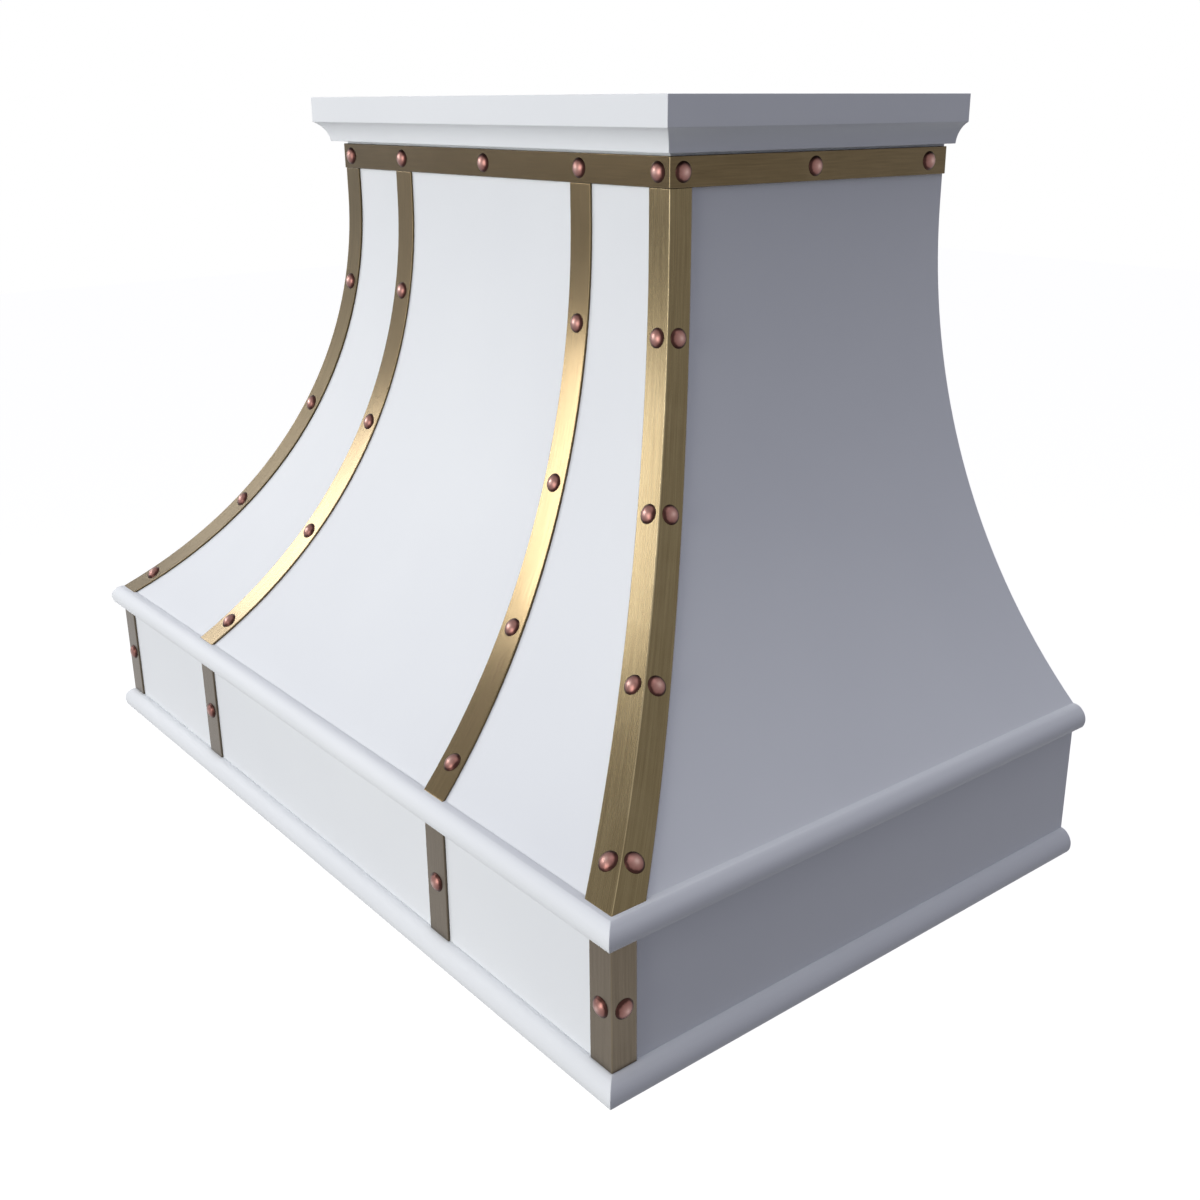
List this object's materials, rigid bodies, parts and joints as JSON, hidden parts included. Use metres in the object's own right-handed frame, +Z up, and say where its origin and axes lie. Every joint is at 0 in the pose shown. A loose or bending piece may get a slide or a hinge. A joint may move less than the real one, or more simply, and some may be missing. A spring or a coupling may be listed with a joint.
{
  "type": "wall range hood",
  "caption": "Wall range hood with a flared canopy, strapped and riveted, over a liner with baffle filters, lamps, push buttons and a duct blower.",
  "frame": {"origin": "middle of the lower edge of the face that lies on the wall", "axes": "+X to the right for someone facing the hood, +Y towards the wall, +Z up"},
  "size_m": [1.2288, 0.7564, 0.9144],
  "materials": {
    "white_paint": "smooth semi-gloss paint on sheet steel",
    "brass_strap": "dark aged brass, brushed",
    "copper_rivet": "polished copper with darkened rims",
    "galvanised_sheet": "galvanised steel sheet",
    "zinc_steel": "zinc plated steel",
    "stainless": "brushed stainless steel",
    "aluminium_sheet": "mill finish aluminium",
    "motor_enamel": "dark enamel",
    "black_plastic": "moulded, fine texture",
    "button_metal": "polished caps",
    "grommet_rubber": "moulded rubber",
    "lamp_glass": "frosted glass"
  },
  "bodies": {
    "root": {"canopy_front": "white_paint", "canopy_left": "white_paint", "canopy_right": "white_paint", "apron": "white_paint", "crown": "white_paint", "upper_moulding": "white_paint", "lower_moulding": "white_paint", "brass_band": "brass_strap", "corner_strap_left": "brass_strap", "corner_strap_right": "brass_strap", "front_strap_left": "brass_strap", "front_strap_right": "brass_strap", "apron_corner_strap_left": "brass_strap", "apron_corner_strap_right": "brass_strap", "apron_straps": "brass_strap", "rivets": "copper_rivet", "rear_rail": "galvanised_sheet", "top_panel": "galvanised_sheet", "duct_collar": "galvanised_sheet", "duct_pipe": "galvanised_sheet", "outlet_adapter": "galvanised_sheet", "blower_box": "galvanised_sheet", "blower_scroll": "galvanised_sheet", "blower_side_plates": "galvanised_sheet", "plenum": "galvanised_sheet", "junction_box": "galvanised_sheet", "junction_box_cover": "galvanised_sheet", "hanging_rail": "zinc_steel", "wall_bracket": "zinc_steel", "motor_bracket": "zinc_steel", "damper_pin": "zinc_steel", "screws": "zinc_steel", "liner": "stainless", "filter_pivot_brackets": "stainless", "grease_trough": "stainless", "grease_cup_rails": "stainless", "control_panel": "stainless", "lamp_housings": "stainless", "motor_casing": "motor_enamel", "switch_block": "black_plastic", "cable_grommet": "grommet_rubber", "lamp_lenses": "lamp_glass"},
    "impeller_body": {"impeller": "galvanised_sheet", "motor_shaft": "zinc_steel"},
    "damper_left_body": {"damper_flap_left": "aluminium_sheet"},
    "damper_right_body": {"damper_flap_right": "aluminium_sheet"},
    "filter_left_body": {"filter_frame_left": "stainless", "filter_baffles_left": "stainless", "filter_handle_left": "stainless"},
    "filter_centre_body": {"filter_frame_centre": "stainless", "filter_baffles_centre": "stainless", "filter_handle_centre": "stainless"},
    "filter_right_body": {"filter_frame_right": "stainless", "filter_baffles_right": "stainless", "filter_handle_right": "stainless"},
    "grease_cup_body": {"grease_cup": "stainless"},
    "button_light_body": {"button_light": "button_metal"},
    "button_low_body": {"button_low": "button_metal"},
    "button_medium_body": {"button_medium": "button_metal"},
    "button_high_body": {"button_high": "button_metal"}
  },
  "joints": [
    {"name": "impeller_spin", "type": "hinge", "parent": "root", "child": "impeller_body", "pos_m": [0, -0.317, 0.375], "axis": [1, 0, 0], "continuous": true},
    {"name": "damper_left_lift", "type": "hinge", "parent": "root", "child": "damper_left_body", "pos_m": [0, -0.222, 0.838], "axis": [0, 1, 0], "range_deg": [0, 80]},
    {"name": "damper_right_lift", "type": "hinge", "parent": "root", "child": "damper_right_body", "pos_m": [0, -0.222, 0.838], "axis": [0, -1, 0], "range_deg": [0, 80]},
    {"name": "filter_left_drop", "type": "hinge", "parent": "root", "child": "filter_left_body", "pos_m": [0, -0.203, 0.055], "axis": [1, 0, 0], "range_deg": [0, 75]},
    {"name": "filter_centre_drop", "type": "hinge", "parent": "root", "child": "filter_centre_body", "pos_m": [0, -0.203, 0.055], "axis": [1, 0, 0], "range_deg": [0, 75]},
    {"name": "filter_right_drop", "type": "hinge", "parent": "root", "child": "filter_right_body", "pos_m": [0, -0.203, 0.055], "axis": [1, 0, 0], "range_deg": [0, 75]},
    {"name": "grease_cup_slide", "type": "slide", "parent": "root", "child": "grease_cup_body", "axis": [1, 0, 0], "range_m": [0, 0.19]},
    {"name": "button_light_press", "type": "slide", "parent": "root", "child": "button_light_body", "axis": [0, 0, 1], "range_m": [0, 0.002], "stiffness_N_per_m": 600, "springref_m": -0.001},
    {"name": "button_low_press", "type": "slide", "parent": "root", "child": "button_low_body", "axis": [0, 0, 1], "range_m": [0, 0.002], "stiffness_N_per_m": 600, "springref_m": -0.001},
    {"name": "button_medium_press", "type": "slide", "parent": "root", "child": "button_medium_body", "axis": [0, 0, 1], "range_m": [0, 0.002], "stiffness_N_per_m": 600, "springref_m": -0.001},
    {"name": "button_high_press", "type": "slide", "parent": "root", "child": "button_high_body", "axis": [0, 0, 1], "range_m": [0, 0.002], "stiffness_N_per_m": 600, "springref_m": -0.001}
  ]
}
